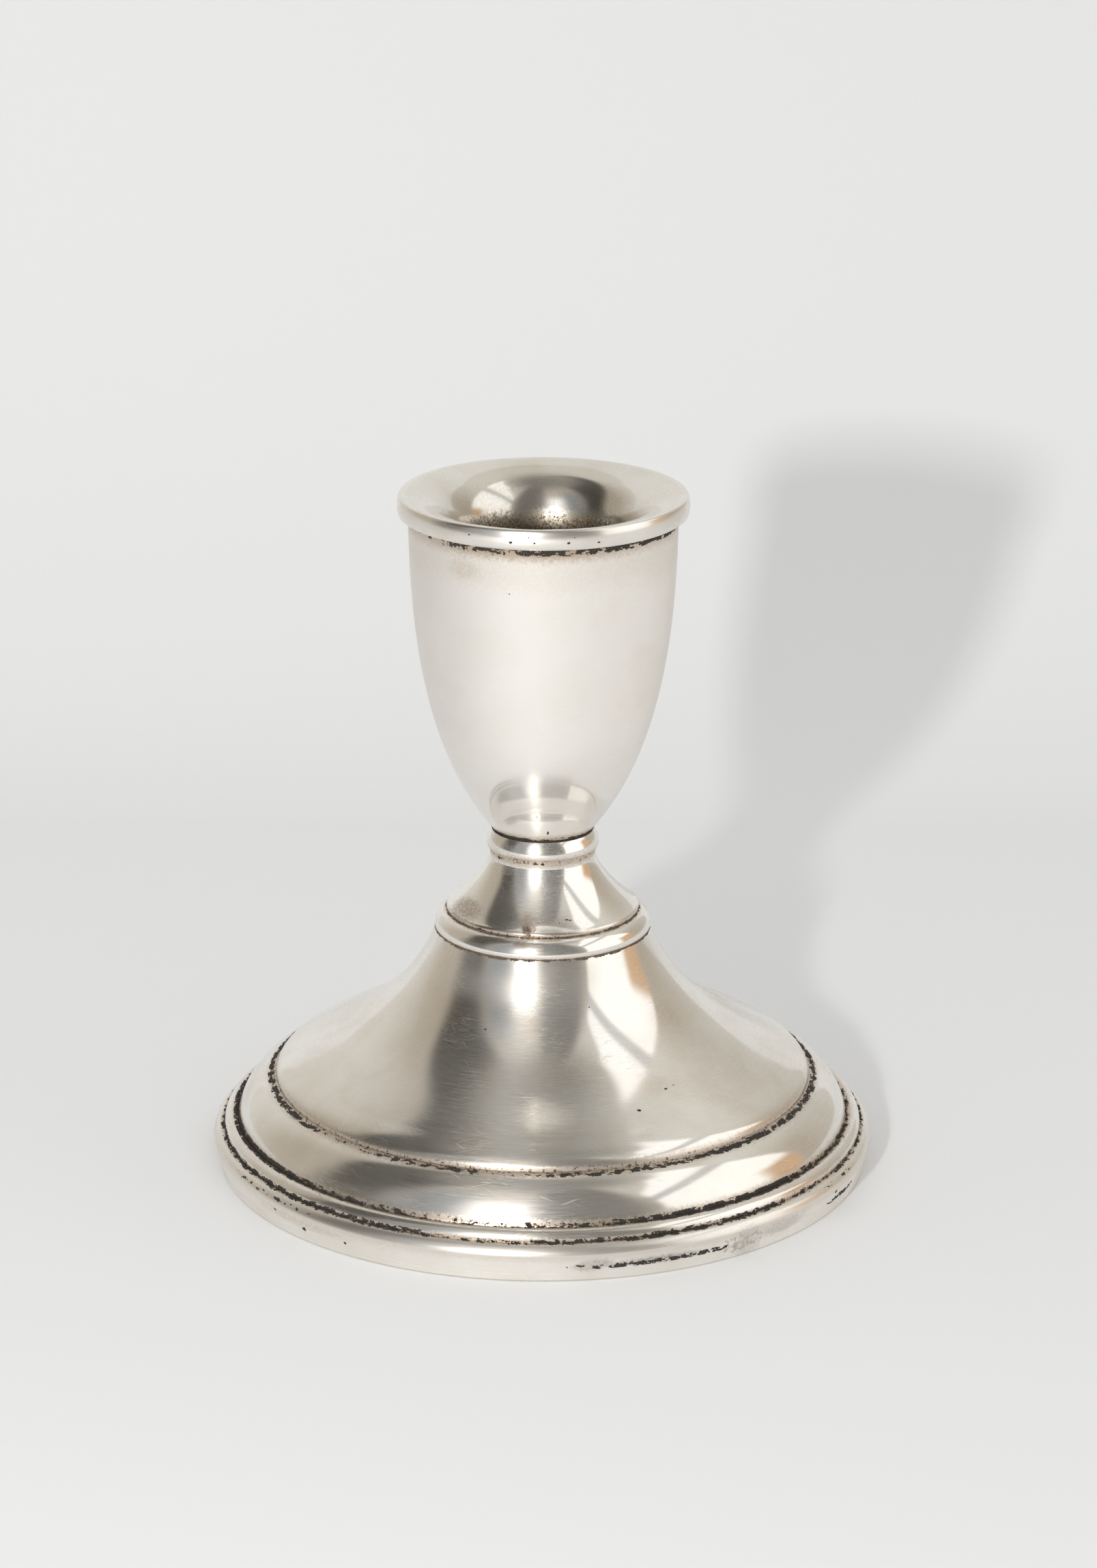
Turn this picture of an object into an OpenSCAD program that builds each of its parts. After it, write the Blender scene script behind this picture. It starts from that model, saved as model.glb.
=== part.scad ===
// Weighted silver candlestick on a round moulded foot, with a cup that
// screws off the neck. Millimetres, +Z up, origin at the centre of the
// resting face. Every outline is a half section of [radius, height]
// points, turned about the Z axis.

/* [Overall] */
// Height of the cup's rim above the table
total_h = 99; // [97:0.5:104]
// Radius of the foot at its widest, the top of the foot band
foot_r = 47.7; // [42:0.1:55]
// Thickness of the spun sheet, measured along each axis
sheet = 0.4; // [0.3:0.05:0.6]

/* [Foot] */
// Height of the foot band
band_h = 3.95; // [3.5:0.05:4.3]
// Thickness of the foot band
band_t = 1.8; // [1.65:0.05:1.85]
// How far the broad torus moulding swells above its chord
torus_swell = 0.95; // [0.6:0.05:1.2]
// How far the narrow bead swells above its chord
bead_swell = 0.75; // [0.4:0.05:0.9]
// Thickness of the felt under the foot
felt_t = 1.3; // [1:0.1:1.6]
// Thickness of the card disc above the felt
disc_t = 1; // [0.6:0.1:1]

/* [Neck] */
// Height of the top of the foot's cone, where the reed ring starts
cone_top_z = 35; // [33:0.5:37]
// Height of the reed ring
reed_h = 2.8; // [2.6:0.1:3]
// Height of the bell, from its lip to the collar
bell_h = 9.1; // [8.5:0.1:10]
// Height of the collar that the cup seats on
collar_h = 2.85; // [2.6:0.05:3.2]
// Outer radius of the bush in the neck
bush_r = 5; // [4.6:0.1:5.4]
// Radius of the reinforcing rod
rod_r = 2.5; // [2:0.1:2.8]

/* [Cup] */
// Outer radius of the cup under its rim
cup_r = 18.95; // [18:0.05:19.1]
// Radius of the cup's foot, where it meets the collar
cup_foot_r = 7.25; // [7.1:0.05:7.4]
// Bore radius of the candle socket
socket_r = 11.3; // [11.2:0.05:11.6]
// Depth of the socket's straight bore
socket_depth = 22; // [18:1:24]
// Outer radius of the rim band
rim_r = 20.5; // [20.4:0.1:22]

/* [Screw] */
// Radius of the cup's stud over its thread
stud_r = 3.175; // [3.1:0.025:3.2]
// Radial clearance between the stud and the bush
thread_gap = 0.1; // [0.1:0.01:0.15]
// Length of stud that stands below the cup
stud_out = 7.6; // [7.2:0.1:8]

/* [Hidden] */
$fn = 96;

// Levels, from the table up.
disc_z = felt_t;
fill_z = disc_z + disc_t;
nut_z = fill_z + 0.3;
nut_h = 3;
nut_across = 8;
washer_z = nut_z + nut_h;
washer_h = 1;
recess_z = washer_z + washer_h;
recess_r = 10;
bell_z = cone_top_z + reed_h;
collar_z = bell_z + bell_h;
seat_z = collar_z + collar_h;
bush_z = bell_z + 0.7;
rod_top_z = bush_z + 2.5;
thread_z = rod_top_z + 0.2;
seat_gap = 0.02;
seat_t = 0.35;
cup_z = seat_z + seat_t;
cup_plate = 0.6;
inner_z = cup_z + cup_plate;
backing_t = 1;
stud_nut_h = 4;
stud_nut_across = 10;
stud_in = 7.4;
backing_r = cup_foot_r - 0.85;
socket_top_z = total_h - 9;
socket_z = socket_top_z - socket_depth;
fill_rise = 4;
rim_z = total_h - 2.9;

// Radii shared by neighbours.
band_in_r = foot_r - band_t;
mouth_r = rim_r - 1.2;
neck_r = 7.5;
neck_hole_r = 12;
flange_hole_r = 12.6;
bell_foot_r = 13.1;
wall = [sheet, sheet];
reed_mid = [13.1, cone_top_z + 0.45];
reed_r = 2.4;
fillet_mid = [7.4, collar_z + 0.7];
fillet_r = 0.6;
crest_mid = [rim_r - 0.65, total_h - 0.5];
crest_r = 0.5;

// The foot's moulding, as the corners between its members.
cone_foot = [foot_r - 12.8, 16];
cone_edge = [foot_r - 9.1, 13.2];
valley_in = [foot_r - 9.05, 12.75];
valley_out = [foot_r - 8.55, 12.6];
torus_end = [foot_r - 3.6, 7];
bead_start = [foot_r - 3.5, 6.8];
bead_end = [foot_r - 1.55, 5.4];

// Cubic curve from p to q, pulled towards a and then b.
function curve(p, a, b, q, n = 16) = [
  for (i = [0 : n])
    let (t = i / n, s = 1 - t)
    s * s * s * p + 3 * s * s * t * a + 3 * s * t * t * b + t * t * t * q
];

// Circular arc from p to q that swells h to the left of the way there.
function swell(p, q, h, n = 12) =
  let (
    c = norm(q - p),
    r = (c * c / 4 + h * h) / (2 * h),
    u = (q - p) / c,
    v = [-u[1], u[0]],
    half = asin(c / 2 / r),
    mid = (p + q) / 2
  )
  [
    for (i = [0 : n])
      let (a = half * (2 * i / n - 1))
      mid + u * r * sin(a) + v * (r * cos(a) - r + h)
  ];

function moved(path, step) = [for (p = path) p + step];
function reversed(path) = [for (i = [len(path) - 1 : -1 : 0]) path[i]];
function without_first(path) = [for (i = [1 : len(path) - 1]) path[i]];

// Outside of the foot, from the neck down to the foot band.
function foot_path() = concat(
  curve([15.4, cone_top_z], [19.6, cone_top_z - 11.4],
        cone_foot + [-7.2, 4.1], cone_foot),
  without_first(curve(cone_foot, cone_foot + [1.7, -0.97],
                      cone_edge + [-0.35, 1.1], cone_edge, 8)),
  [valley_in],
  swell(valley_out, torus_end, torus_swell, 16),
  swell(bead_start, bead_end, bead_swell)
);

// Outside of the bell, from the collar down to its lip.
function bell_path() = concat(
  [[neck_r + 0.1, collar_z]],
  curve([neck_r, collar_z - 1], [neck_r + 0.55, collar_z - 3.55],
        [11.65, bell_z + 2], [13.5, bell_z + 0.8])
);

// Outside of the cup, from its foot up to the rim band.
function cup_path() =
  curve([cup_foot_r, cup_z], [cup_foot_r + 8.6, cup_z + 10.4],
        [cup_r - 0.1, cup_z + 25.7], [cup_r, rim_z + 0.1], 28);

// Inside of the flared mouth, from the rim down to the straight socket.
function mouth_path() =
  curve([mouth_r, total_h - 0.1], [socket_r + 3.2, total_h - 1.1],
        [socket_r, total_h - 3.5], [socket_r, socket_top_z]);

module turned(outline) {
  rotate_extrude() polygon(outline);
}

module washer(z, r, hole_r, h) {
  turned([[hole_r, z], [r, z], [r, z + h], [hole_r, z + h]]);
}

module hex_nut(z, across, hole_r, h) {
  translate([0, 0, z]) difference() {
    cylinder(h = h, d = across / cos(30), $fn = 6);
    translate([0, 0, -1]) cylinder(h = h + 2, r = hole_r);
  }
}

// Spun cone, torus and bead in one sheet, with a flange turned in at the top.
module foot_shell() {
  outside = foot_path();
  color("silver") turned(concat(
    [[flange_hole_r, cone_top_z]],
    outside,
    [[bead_end[0], bead_end[1] - sheet]],
    reversed(moved(outside, -wall)),
    [[flange_hole_r, cone_top_z - sheet]]
  ));
}

// Strip bent into a ring and soldered under the bead, with a rounded lip.
module foot_band() {
  lip_top = [foot_r, band_h];
  color("gainsboro") turned(concat(
    swell(bead_end, lip_top, 0.4, 8),
    [
      [foot_r - 0.75, 0.3],
      [foot_r - 1.05, 0],
      [band_in_r, 0],
      [band_in_r, bead_end[1] - sheet],
      [bead_end[0], bead_end[1] - sheet]
    ]
  ));
}

// Half-round ring between the cone and the bell.
module reed_ring() {
  color("lightgray") turned(concat(
    [[neck_hole_r, cone_top_z], [15.3, cone_top_z]],
    [for (i = [0 : 10])
      let (a = -4 + 78 * i / 10)
      reed_mid + reed_r * [cos(a), sin(a)]],
    [[13.6, bell_z], [neck_hole_r, bell_z]]
  ));
}

// Spun bell with a rolled lip at its foot.
module bell_shell() {
  outside = bell_path();
  color("silver") turned(concat(
    outside,
    without_first(swell(outside[len(outside) - 1], [13.7, bell_z], 0.2, 6)),
    [[bell_foot_r, bell_z]],
    reversed(moved(without_first(outside), -wall)),
    [[neck_r + 0.1 - sheet, collar_z]]
  ));
}

// Turned ring that the cup seats on.
module neck_collar() {
  color("lightgray") turned(concat(
    [[bush_r, collar_z], [7.7, collar_z]],
    [for (i = [0 : 6])
      let (a = -60 + 60 * i / 6)
      fillet_mid + fillet_r * [cos(a), sin(a)]],
    [[7.95, collar_z + 1.5], [7.4, seat_z - 0.1]],
    [[7.3, seat_z], [bush_r, seat_z]]
  ));
}

// Threaded bush that takes the cup's stud above and the rod's end below.
module neck_bush() {
  color("goldenrod") turned([
    [rod_r, bush_z], [bush_r, bush_z], [bush_r, seat_z],
    [stud_r + thread_gap, seat_z], [stud_r + thread_gap, thread_z],
    [rod_r, thread_z]
  ]);
}

module core_rod() {
  color("dimgray") translate([0, 0, nut_z - 0.1])
    cylinder(h = rod_top_z - nut_z + 0.1, r = rod_r);
}

module rod_washer() {
  color("darkgray") washer(washer_z, recess_r - 1, rod_r, washer_h);
}

module rod_nut() {
  color("slategray") hex_nut(nut_z, nut_across, rod_r, nut_h);
}

// Cement poured into the shell, with a recess for the washer and nut.
module weight_fill() {
  color("tan") turned(concat(
    [[rod_r, recess_z], [recess_r, recess_z], [recess_r, fill_z]],
    [[bead_end[0] - sheet, fill_z]],
    reversed(moved(foot_path(), -wall)),
    [[neck_hole_r, cone_top_z - sheet], [neck_hole_r, bell_z]],
    [[bell_foot_r, bell_z]],
    reversed(moved(without_first(bell_path()), -wall)),
    [[bush_r, collar_z - 1 - sheet], [bush_r, bush_z], [rod_r, bush_z]]
  ));
}

module base_disc() {
  color("burlywood") translate([0, 0, disc_z])
    cylinder(h = disc_t, r = band_in_r - 0.15);
}

module felt_pad() {
  color("darkolivegreen") cylinder(h = felt_t, r = band_in_r - 0.3);
}

// Thin washer between the collar and the cup.
module seat_washer() {
  color("saddlebrown")
    washer(seat_z + seat_gap, 7, stud_r + 0.3, seat_t - 2 * seat_gap);
}

// Spun cup with a flat plate at its foot.
module cup_shell() {
  outside = cup_path();
  inside = moved(without_first(outside), [-sheet, 0.3]);
  color("whitesmoke") turned(concat(
    [[stud_r, cup_z]],
    outside,
    [[cup_r, total_h - 1], [cup_r - sheet, total_h - 1]],
    reversed(inside),
    [[cup_foot_r - 0.3, inner_z], [stud_r, inner_z]]
  ));
}

// Ring soldered round the cup's mouth, with a rounded crest.
module rim_band() {
  color("silver") turned(concat(
    [[cup_r, rim_z], [rim_r - 0.55, rim_z], [rim_r - 0.2, rim_z + 0.2]],
    [[rim_r - 0.1, rim_z + 0.5], [rim_r, rim_z + 1.2]],
    [[rim_r - 0.1, total_h - 0.6]],
    [for (i = [0 : 6])
      let (a = 15 + 75 * i / 6)
      crest_mid + crest_r * [cos(a), sin(a)]],
    [[mouth_r, total_h - 0.1], [mouth_r, total_h - 0.6]],
    [[cup_r, total_h - 0.7]]
  ));
}

// Flared mouth and candle socket, drawn from one piece.
module socket_liner() {
  inside = mouth_path();
  color("gray") turned(concat(
    [[0, socket_z - 0.5], [socket_r + 0.5, socket_z - 0.5]],
    [[socket_r + 0.5, socket_top_z - 0.5]],
    reversed(moved(without_first(inside), [0.5, -0.5])),
    [[cup_r, total_h - 0.7], [mouth_r, total_h - 0.6]],
    inside,
    [[socket_r, socket_z], [0, socket_z]]
  ));
}

// Pitch that locks the nut and beds the socket.
module cup_fill() {
  top_z = socket_z + fill_rise;
  below = [for (p = moved(without_first(cup_path()), [-sheet, 0.3]))
    if (p[1] < top_z) p];
  color("sienna") difference() {
    turned(concat(
      [[0, inner_z], [cup_foot_r - 0.3, inner_z]],
      below,
      [[socket_r + 0.5, top_z], [socket_r + 0.5, socket_z - 0.5]],
      [[0, socket_z - 0.5]]
    ));
    translate([0, 0, inner_z - 1])
      cylinder(h = backing_t + 1, r = backing_r);
    translate([0, 0, inner_z + backing_t - 0.5])
      cylinder(h = stud_nut_h + 0.5, d = stud_nut_across / cos(30), $fn = 6);
    translate([0, 0, cup_z]) cylinder(h = stud_in, r = stud_r);
  }
}

module cup_stud() {
  color("dimgray") translate([0, 0, cup_z - stud_out])
    cylinder(h = stud_out + stud_in, r = stud_r);
}

module stud_washer() {
  color("darkgray") washer(inner_z, backing_r, stud_r, backing_t);
}

module stud_nut() {
  color("slategray")
    hex_nut(inner_z + backing_t, stud_nut_across, stud_r, stud_nut_h);
}

foot_shell();
foot_band();
reed_ring();
bell_shell();
neck_collar();
neck_bush();
core_rod();
rod_washer();
rod_nut();
weight_fill();
base_disc();
felt_pad();
seat_washer();
cup_shell();
rim_band();
socket_liner();
cup_fill();
cup_stud();
stud_washer();
stud_nut();
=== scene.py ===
"""Looks of the weighted silver candlestick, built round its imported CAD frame.

Sizes are in millimetres until a mesh is made. Azimuth 0 faces the viewer (-Y)
and grows towards +X. Every turned piece is a half outline of (radius, height)
points, turned about the Z axis.
"""
import math

import bpy
from mathutils import Matrix, Vector, noise


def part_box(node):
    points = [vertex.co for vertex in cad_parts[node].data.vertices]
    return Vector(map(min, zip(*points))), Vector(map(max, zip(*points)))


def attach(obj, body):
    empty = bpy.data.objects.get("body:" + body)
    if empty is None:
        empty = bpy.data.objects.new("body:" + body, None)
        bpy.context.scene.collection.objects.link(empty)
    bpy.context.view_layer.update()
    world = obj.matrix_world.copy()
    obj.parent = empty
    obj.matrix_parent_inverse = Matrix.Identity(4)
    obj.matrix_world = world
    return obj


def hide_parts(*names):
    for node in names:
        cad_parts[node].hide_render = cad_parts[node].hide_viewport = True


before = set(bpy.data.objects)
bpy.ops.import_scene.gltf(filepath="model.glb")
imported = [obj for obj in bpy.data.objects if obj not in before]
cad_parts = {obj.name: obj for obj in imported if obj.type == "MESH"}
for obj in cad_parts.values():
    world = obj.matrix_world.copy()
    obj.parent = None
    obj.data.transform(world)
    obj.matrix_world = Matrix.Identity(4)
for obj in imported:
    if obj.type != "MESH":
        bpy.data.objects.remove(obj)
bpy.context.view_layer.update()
MM = 0.001


def low(node):
    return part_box(node)[0].z / MM


def high(node):
    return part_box(node)[1].z / MM


def radius(node):
    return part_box(node)[1].x / MM


# Levels and radii, read from the frame where it has them.
FOOT_R = radius("foot_band")
BAND_IN_R = radius("base_disc") + 0.15
CONE_TOP = low("reed_ring")
BELL_Z = low("bell_shell")
COLLAR_Z = low("neck_collar")
SEAT_Z = high("neck_collar")
BUSH_R = radius("neck_bush")
CUP_Z = low("cup_shell")
CUP_R = radius("cup_shell")
RIM_Z = low("rim_band")
RIM_R = radius("rim_band")
TOP_Z = high("rim_band")
SOCKET_Z = low("socket_liner") + 0.5
STUD_R = radius("cup_stud")
INNER_Z = CUP_Z + 0.6
SOCKET_TOP = TOP_Z - 9
SOCKET_R = 11.3
CUP_FOOT_R = 7.25
COLLAR_R = 7.6
CONE_TOP_R = 15.4
BAND_TOP = 3.95
SHEET = 0.4

# Corners between the members of the foot's moulding.
CONE_FOOT = (FOOT_R - 12.8, 16.0)
CONE_EDGE = (FOOT_R - 9.1, 13.2)
VALLEY_IN = (FOOT_R - 9.05, 12.75)
VALLEY_OUT = (FOOT_R - 8.55, 12.6)
TORUS_END = (FOOT_R - 3.6, 7.0)
BEAD_START = (FOOT_R - 3.5, 6.8)
BEAD_END = (FOOT_R - 1.55, 5.4)
LIP_END = (FOOT_R, BAND_TOP)

SEGMENTS = 360
THREAD_PITCH = 1.27
THREAD_DEPTH = 0.62
THREAD_SEGMENTS = 72
CRUST_CELL = 0.11
CRUST_EDGE = 0.06
CRUST_ROOT = 0.1


# ---------------------------------------------------------------- outlines
def curve(p, a, b, q, n):
    """Cubic curve from p to q, pulled towards a and then b."""
    points = []
    for i in range(n + 1):
        t = i / n
        s = 1 - t
        w = (s**3, 3 * s * s * t, 3 * s * t * t, t**3)
        points.append(tuple(sum(k * c[j] for k, c in zip(w, (p, a, b, q))) for j in (0, 1)))
    return points


def swell(p, q, height, n):
    """Arc from p to q that swells to the left of the way there."""
    chord = math.dist(p, q)
    r = (chord**2 / 4 + height**2) / (2 * height)
    ux, uz = (q[0] - p[0]) / chord, (q[1] - p[1]) / chord
    half = math.asin(chord / 2 / r)
    middle = ((p[0] + q[0]) / 2, (p[1] + q[1]) / 2)
    points = []
    for i in range(n + 1):
        a = half * (2 * i / n - 1)
        along, out = r * math.sin(a), r * math.cos(a) - r + height
        points.append((middle[0] + ux * along - uz * out, middle[1] + uz * along + ux * out))
    return points


def arc(centre, r, start, end, n):
    """Arc about centre from start to end, in degrees."""
    angles = [math.radians(start + (end - start) * i / n) for i in range(n + 1)]
    return [(centre[0] + r * math.cos(a), centre[1] + r * math.sin(a)) for a in angles]


def moved(points, dr, dz):
    return [(r + dr, z + dz) for r, z in points]


def foot_outline():
    """Outside of the foot, from the neck down to the foot band."""
    edge = curve(
        CONE_FOOT, (CONE_FOOT[0] + 1.7, CONE_FOOT[1] - 0.97), (CONE_EDGE[0] - 0.35, CONE_EDGE[1] + 1.1),
        CONE_EDGE, 16,
    )
    cone = curve(
        (CONE_TOP_R, CONE_TOP), (19.6, CONE_TOP - 11.4), (CONE_FOOT[0] - 7.2, CONE_FOOT[1] + 4.1),
        CONE_FOOT, 60,
    )
    return (
        cone
        + edge[1:]
        + [VALLEY_IN]
        + swell(VALLEY_OUT, TORUS_END, 0.95, 40)
        + swell(BEAD_START, BEAD_END, 0.75, 24)
    )


def bell_outline():
    """Outside of the bell, from the collar down to its lip."""
    flare = (7.5, COLLAR_Z - 1), (8.05, COLLAR_Z - 3.55), (11.65, BELL_Z + 2), (13.5, BELL_Z + 0.8)
    return [(COLLAR_R, COLLAR_Z)] + curve(*flare, 40)


def cup_outline():
    """Outside of the cup, from its foot up to the rim band."""
    swelling = (15.85, CUP_Z + 10.4), (CUP_R - 0.1, CUP_Z + 25.7)
    return curve((CUP_FOOT_R, CUP_Z), *swelling, (CUP_R, RIM_Z + 0.1), 80)


def mouth_outline():
    """Inside of the flared mouth, from the rim down to the straight socket."""
    flare = (RIM_R - 1.2, TOP_Z - 0.1), (SOCKET_R + 3.2, TOP_Z - 1.1), (SOCKET_R, TOP_Z - 3.5)
    return curve(*flare, (SOCKET_R, SOCKET_TOP), 50)


def reed_outline():
    """Half round of the reed ring, from its foot up to the bell."""
    return arc((13.1, CONE_TOP + 0.45), 2.4, -4, 74, 20)


def lip_outline():
    """Rounded top of the foot band, from the bead out to its edge."""
    return swell(BEAD_END, LIP_END, 0.4, 14)


def band_outline():
    """Outside of the foot band, from its lip down to the table."""
    edge = [(FOOT_R - 0.75, 0.35), (FOOT_R - 0.85, 0.12), (FOOT_R - 1.05, 0)]
    return [LIP_END, (FOOT_R - 0.04, BAND_TOP - 0.12)] + edge


def strip(outline, ring, reach, n):
    """n + 1 even points of an outline, from reach before a (radius, height) to reach after it."""
    nearest = min(range(len(outline)), key=lambda i: math.dist(outline[i], ring))
    ways = [0.0]
    for one, two in zip(outline, outline[1:]):
        ways.append(ways[-1] + math.dist(one, two))
    start, end = max(ways[nearest] - reach, 0), min(ways[nearest] + reach, ways[-1])
    points = []
    for i in range(n + 1):
        way = start + (end - start) * i / n
        k = max(j for j in range(len(ways) - 1) if ways[j] <= way)
        t = (way - ways[k]) / (ways[k + 1] - ways[k])
        points.append(tuple(a + (b - a) * t for a, b in zip(outline[k], outline[k + 1])))
    return points


# ---------------------------------------------------------------- meshes
def around_point(r, z, a):
    """The point at azimuth a, in radians, as metres."""
    return (r * math.sin(a) * MM, -r * math.cos(a) * MM, z * MM)


def add_piece(name, points, faces, body, material, replaces=(), crease=30):
    """A mesh as a named piece that rides on a body, with edges sharp above the crease angle."""
    mesh = bpy.data.meshes.new(name)
    mesh.from_pydata(points, [], faces)
    mesh.validate()
    mesh.polygons.foreach_set("use_smooth", [True] * len(mesh.polygons))
    mesh.set_sharp_from_angle(angle=math.radians(crease))
    mesh.materials.append(material)
    mesh.update()
    outward(mesh)
    piece = bpy.data.objects.new(name, mesh)
    bpy.context.scene.collection.objects.link(piece)
    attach(piece, body)
    if replaces:
        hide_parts(*replaces)


def outward(mesh):
    """Turns the faces outwards where the outline ran the other way round."""
    volume = 0.0
    mesh.calc_loop_triangles()
    for t in mesh.loop_triangles:
        a, b, c = (mesh.vertices[i].co for i in t.vertices)
        volume += a.dot(b.cross(c))
    if volume < 0:
        mesh.flip_normals()


def turned(name, outline, body, material, replaces):
    """A closed outline turned about Z, as one watertight mesh that rides on a body."""
    points, faces, rings = [], [], []
    for r, z in outline:
        if r < 1e-6:
            rings.append([len(points)] * SEGMENTS)
            points.append((0, 0, z * MM))
            continue
        rings.append([len(points) + i for i in range(SEGMENTS)])
        points += [around_point(r, z, 2 * math.pi * i / SEGMENTS) for i in range(SEGMENTS)]
    for one, two in zip(rings, rings[1:] + rings[:1]):
        if one[0] == one[1] and two[0] == two[1]:
            continue
        for i in range(SEGMENTS):
            j = (i + 1) % SEGMENTS
            corners = []
            for v in (one[i], one[j], two[j], two[i]):
                if v not in corners:
                    corners.append(v)
            faces.append(corners)
    add_piece(name, points, faces, body, material, replaces)


def share_at(arcs, degrees):
    """The amount at an azimuth, on straight lines between (degrees, amount) pairs."""
    for (a, v), (b, w) in zip(arcs, arcs[1:]):
        if a <= degrees <= b:
            return v + (w - v) * (degrees - a) / (b - a)
    return 0.0


def crust_skin(path, arcs, rise, cell, seed):
    """Points and faces of old polish caked on a strip, thick where it has stayed and gone elsewhere."""
    count = int(2 * math.pi * path[0][0] / cell)
    last = len(path) - 1
    normals = []
    for i in range(last + 1):
        a, b = path[max(i - 1, 0)], path[min(i + 1, last)]
        long = math.dist(a, b)
        normals.append(((a[1] - b[1]) / long, (b[0] - a[0]) / long))
    wide = sum(math.dist(a, b) for a, b in zip(path, path[1:]))
    heights = []
    for i in range(count):
        a = 2 * math.pi * i / count
        amount = share_at(arcs, math.degrees(a if a <= math.pi else a - 2 * math.pi))
        row = []
        for j in range(last + 1):
            t = 2 * j / last - 1
            where = Vector((math.sin(a) * path[0][0], math.cos(a) * path[0][0], t * wide))
            flake = noise.fractal(where * 0.8 + Vector((seed, 0, 0)), 0.75, 2.0, 5)
            grain = noise.noise(where * 4.2 + Vector((0, seed, 0)))
            level = amount * 1.25 - 0.55 - abs(t) ** 1.6 * 0.75 + flake * 1.2 + grain * 0.75
            row.append(rise * min(max(level * 2.2, -1), 1) * (1 + 0.35 * grain) if amount > 0.01 else -rise)
        heights.append(row)
    top, under, points, faces = {}, {}, [], []

    def vertex(store, i, j, height):
        key = (i % count, j)
        if key not in store:
            (r, z), (nr, nz) = path[j], normals[j]
            store[key] = len(points)
            points.append(around_point(r + nr * height, z + nz * height, 2 * math.pi * key[0] / count))
        return store[key]

    def kept(i, j):
        corners = [(i, j), (i + 1, j), (i + 1, j + 1), (i, j + 1)]
        return 0 <= j < last and max(heights[k % count][m] for k, m in corners) > 0

    for i in range(count):
        for j in range(last):
            if not kept(i, j):
                continue
            corners = [(i, j), (i + 1, j), (i + 1, j + 1), (i, j + 1)]
            upper = [vertex(top, k, m, max(heights[k % count][m], -CRUST_EDGE)) for k, m in corners]
            lower = [vertex(under, k, m, -CRUST_ROOT) for k, m in corners]
            faces.append(upper)
            faces.append(lower[::-1])
            for side, (di, dj) in enumerate(((0, -1), (1, 0), (0, 1), (-1, 0))):
                if not kept(i + di, j + dj):
                    n = (side + 1) % 4
                    faces.append((upper[n], upper[side], lower[side], lower[n]))
    return points, faces


def crust(name, body, material, strips, cell=CRUST_CELL):
    """One piece of crust from several (path, arcs, rise, seed) strips."""
    points, faces = [], []
    for path, arcs, rise, seed in strips:
        more, corners = crust_skin(path, arcs, rise, cell, seed)
        faces += [tuple(v + len(points) for v in face) for face in corners]
        points += more
    add_piece(name, points, faces, body, material, crease=60)


# ---------------------------------------------------------------- node helpers
class Graph:
    """Adds nodes to one node tree and hands back their outputs."""

    def __init__(self, tree):
        self.tree = tree
        tree.nodes.clear()

    def add(self, kind, inputs=None, **settings):
        node = self.tree.nodes.new(kind)
        for key, value in settings.items():
            setattr(node, key, value)
        for key, value in (inputs or {}).items():
            if isinstance(value, bpy.types.NodeSocket):
                self.tree.links.new(value, node.inputs[key])
            else:
                node.inputs[key].default_value = value
        return node

    def math(self, operation, a, b=0.0, c=0.0):
        return self.add("ShaderNodeMath", {0: a, 1: b, 2: c}, operation=operation).outputs[0]

    def smooth(self, value, start, end):
        """0 up to start, 1 from end, smooth between."""
        inputs = {"Value": value, "From Min": start, "From Max": end}
        return self.add("ShaderNodeMapRange", inputs, interpolation_type="SMOOTHSTEP").outputs[0]

    def mix(self, factor, a, b):
        return self.add("ShaderNodeMix", {0: factor, 6: a, 7: b}, data_type="RGBA").outputs[2]

    def blend(self, factor, a, b):
        return self.add("ShaderNodeMix", {0: factor, 2: a, 3: b}).outputs[0]

    def vector(self, x, y, z):
        return self.add("ShaderNodeCombineXYZ", {0: x, 1: y, 2: z}).outputs[0]

    def noise(self, vector, scale, detail=2.0, rough=0.5, distortion=0.0):
        inputs = {"Vector": vector, "Scale": scale, "Detail": detail}
        inputs.update({"Roughness": rough, "Distortion": distortion})
        return self.add("ShaderNodeTexNoise", inputs).outputs["Fac"]

    def ramp(self, value, stops):
        """Grey values at positions from 0 to 1, joined by straight lines."""
        ramp = self.add("ShaderNodeValToRGB", {0: value})
        elements = ramp.color_ramp.elements
        elements[0].position, elements[1].position = stops[0][0], stops[-1][0]
        for position, _ in stops[1:-1]:
            elements.new(position)
        for element, (_, grey) in zip(elements, stops):
            element.color = (grey, grey, grey, 1)
        return ramp.outputs[0]


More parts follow.
